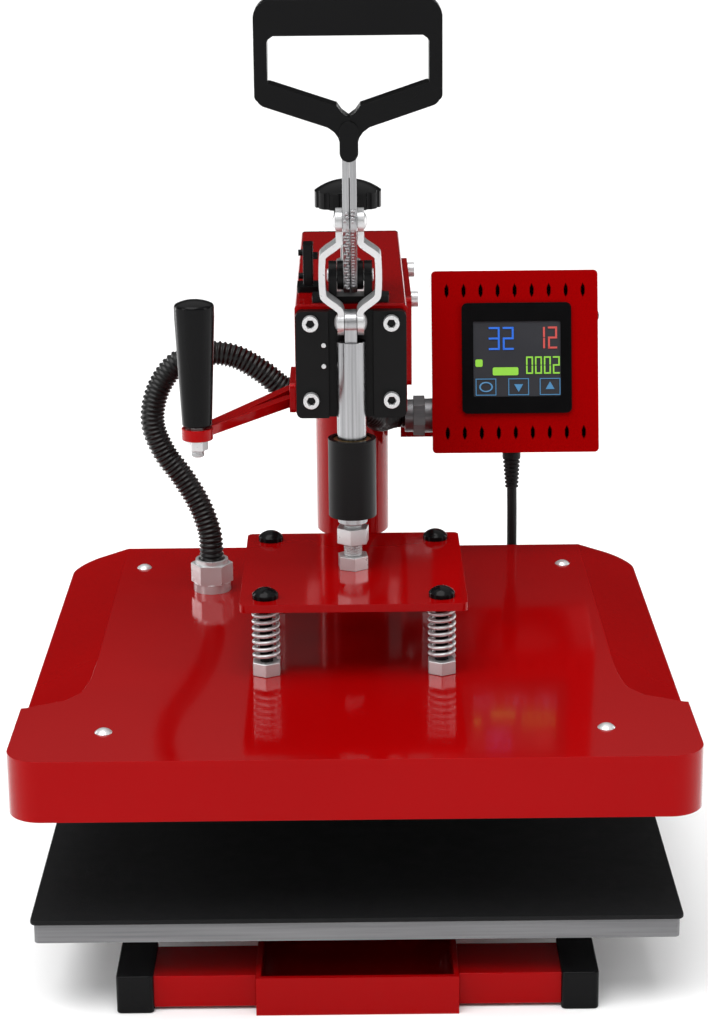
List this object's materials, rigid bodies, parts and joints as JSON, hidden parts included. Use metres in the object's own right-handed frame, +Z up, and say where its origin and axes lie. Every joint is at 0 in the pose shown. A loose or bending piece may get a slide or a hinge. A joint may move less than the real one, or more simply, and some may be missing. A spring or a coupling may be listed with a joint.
{
  "type": "heat press",
  "caption": "Swing-away flat heat press: sprung heated platen on a lever-driven plunger, box-beam arm on a column, control box, padded lower platen.",
  "frame": {"origin": "on the floor, under the middle of the platen and on the plunger's axis", "axes": "+X to the user's right, +Y to the back, +Z up"},
  "size_m": [0.398, 0.6325, 0.571],
  "materials": {
    "red_paint": "glossy red powder coat with mirror-like reflections",
    "black_paint": "satin black powder coat",
    "black_plastic": "moulded black plastic, semi-gloss",
    "zinc": "bright zinc-plated steel",
    "chrome": "polished steel tube with fine drawn lines",
    "steel": "drawn flat steel bar, plated",
    "aluminium": "milled aluminium plate",
    "silicone": "matt black silicone sponge",
    "brass": "turned bronze",
    "display_glass": "dark gloss panel",
    "circuit": "green lacquered board",
    "insulation": "pressed mineral fibre",
    "cable_black": "black corrugated hose and flexible lead",
    "gland_grey": "grey plated gland"
  },
  "bodies": {
    "base": {"base_channel": "red_paint", "foot_tubes": "red_paint", "foot_end_caps": "black_plastic", "platen_pedestal": "red_paint", "pedestal_bolts": "zinc", "lower_platen": "aluminium", "silicone_pad": "silicone", "column": "chrome", "thrust_disc": "brass"},
    "arm": {"arm_beam": "red_paint", "swivel_sleeve": "red_paint", "sleeve_bushes": "brass", "arm_rear_cap": "black_plastic", "guide_bracket": "black_paint", "guide_bush": "brass", "guide_screws": "zinc", "fulcrum_bracket": "black_paint", "fulcrum_pin": "zinc", "limit_switch": "black_plastic", "knob_collar": "zinc", "side_bracket": "red_paint", "side_bracket_bolts": "zinc", "control_box_shell": "red_paint", "control_box_back": "red_paint", "display_bezel": "black_plastic", "display_screen": "display_glass", "circuit_board": "circuit", "power_relay": "aluminium", "box_gland": "gland_grey", "cord_relief": "cable_black", "power_cord": "cable_black", "cord_coil": "cable_black", "power_plug": "cable_black", "swing_bracket": "red_paint", "grip_stud": "zinc", "swing_grip": "black_plastic", "hose": "cable_black"},
    "switch": {"power_switch": "black_plastic"},
    "knob": {"pressure_knob": "black_plastic", "pressure_screw": "zinc"},
    "lever": {"lever_bars": "steel", "lever_hub": "black_paint", "handle_grip": "black_plastic"},
    "plunger": {"plunger_tube": "chrome", "plunger_tongue": "steel", "adjusting_stud": "zinc", "stud_nuts": "zinc", "spring_plate": "red_paint", "pressure_springs": "zinc"},
    "link": {"link_straps": "zinc", "link_bolts": "zinc"},
    "head": {"head_bolts": "black_paint", "bolt_caps": "black_plastic", "spring_nuts": "zinc", "head_cover": "red_paint", "cover_screws": "zinc", "insulation": "insulation", "heating_element": "steel", "heating_platen": "aluminium", "head_gland": "zinc"}
  },
  "joints": [
    {"name": "arm_swing", "type": "hinge", "parent": "base", "child": "arm", "pos_m": [0, 0.236, 0.17], "axis": [0, 0, 1], "range_deg": [0, 100]},
    {"name": "lever_swing", "type": "hinge", "parent": "arm", "child": "lever", "pos_m": [0, 0.016, 0.4], "axis": [1, 0, 0], "range_deg": [0, 97]},
    {"name": "press_slide", "type": "slide", "parent": "arm", "child": "plunger", "axis": [0, 0, -1], "range_m": [0, 0.063], "deforming": ["hose"]},
    {"name": "link_tilt", "type": "hinge", "parent": "plunger", "child": "link", "pos_m": [0, 0, 0.3735], "axis": [1, 0, 0], "range_deg": [0, 8.7]},
    {"name": "head_float", "type": "slide", "parent": "plunger", "child": "head", "axis": [0, 0, 1], "range_m": [0, 0.004], "stiffness_N_per_m": 40000, "deforming": ["pressure_springs"]},
    {"name": "knob_turn", "type": "hinge", "parent": "arm", "child": "knob", "pos_m": [-0.001, 0.047, 0.43], "axis": [0, 0, 1], "continuous": true},
    {"name": "switch_rock", "type": "hinge", "parent": "arm", "child": "switch", "pos_m": [0.1671, 0.23509, 0.32548], "axis": [0, 0.9659, -0.2588], "range_deg": [-6, 6]}
  ],
  "couplings": [
    {"joint": "press_slide", "follows": "lever_swing", "m_per_rad": 0.037209},
    {"joint": "link_tilt", "follows": "lever_swing", "ratio": 0.089682}
  ]
}
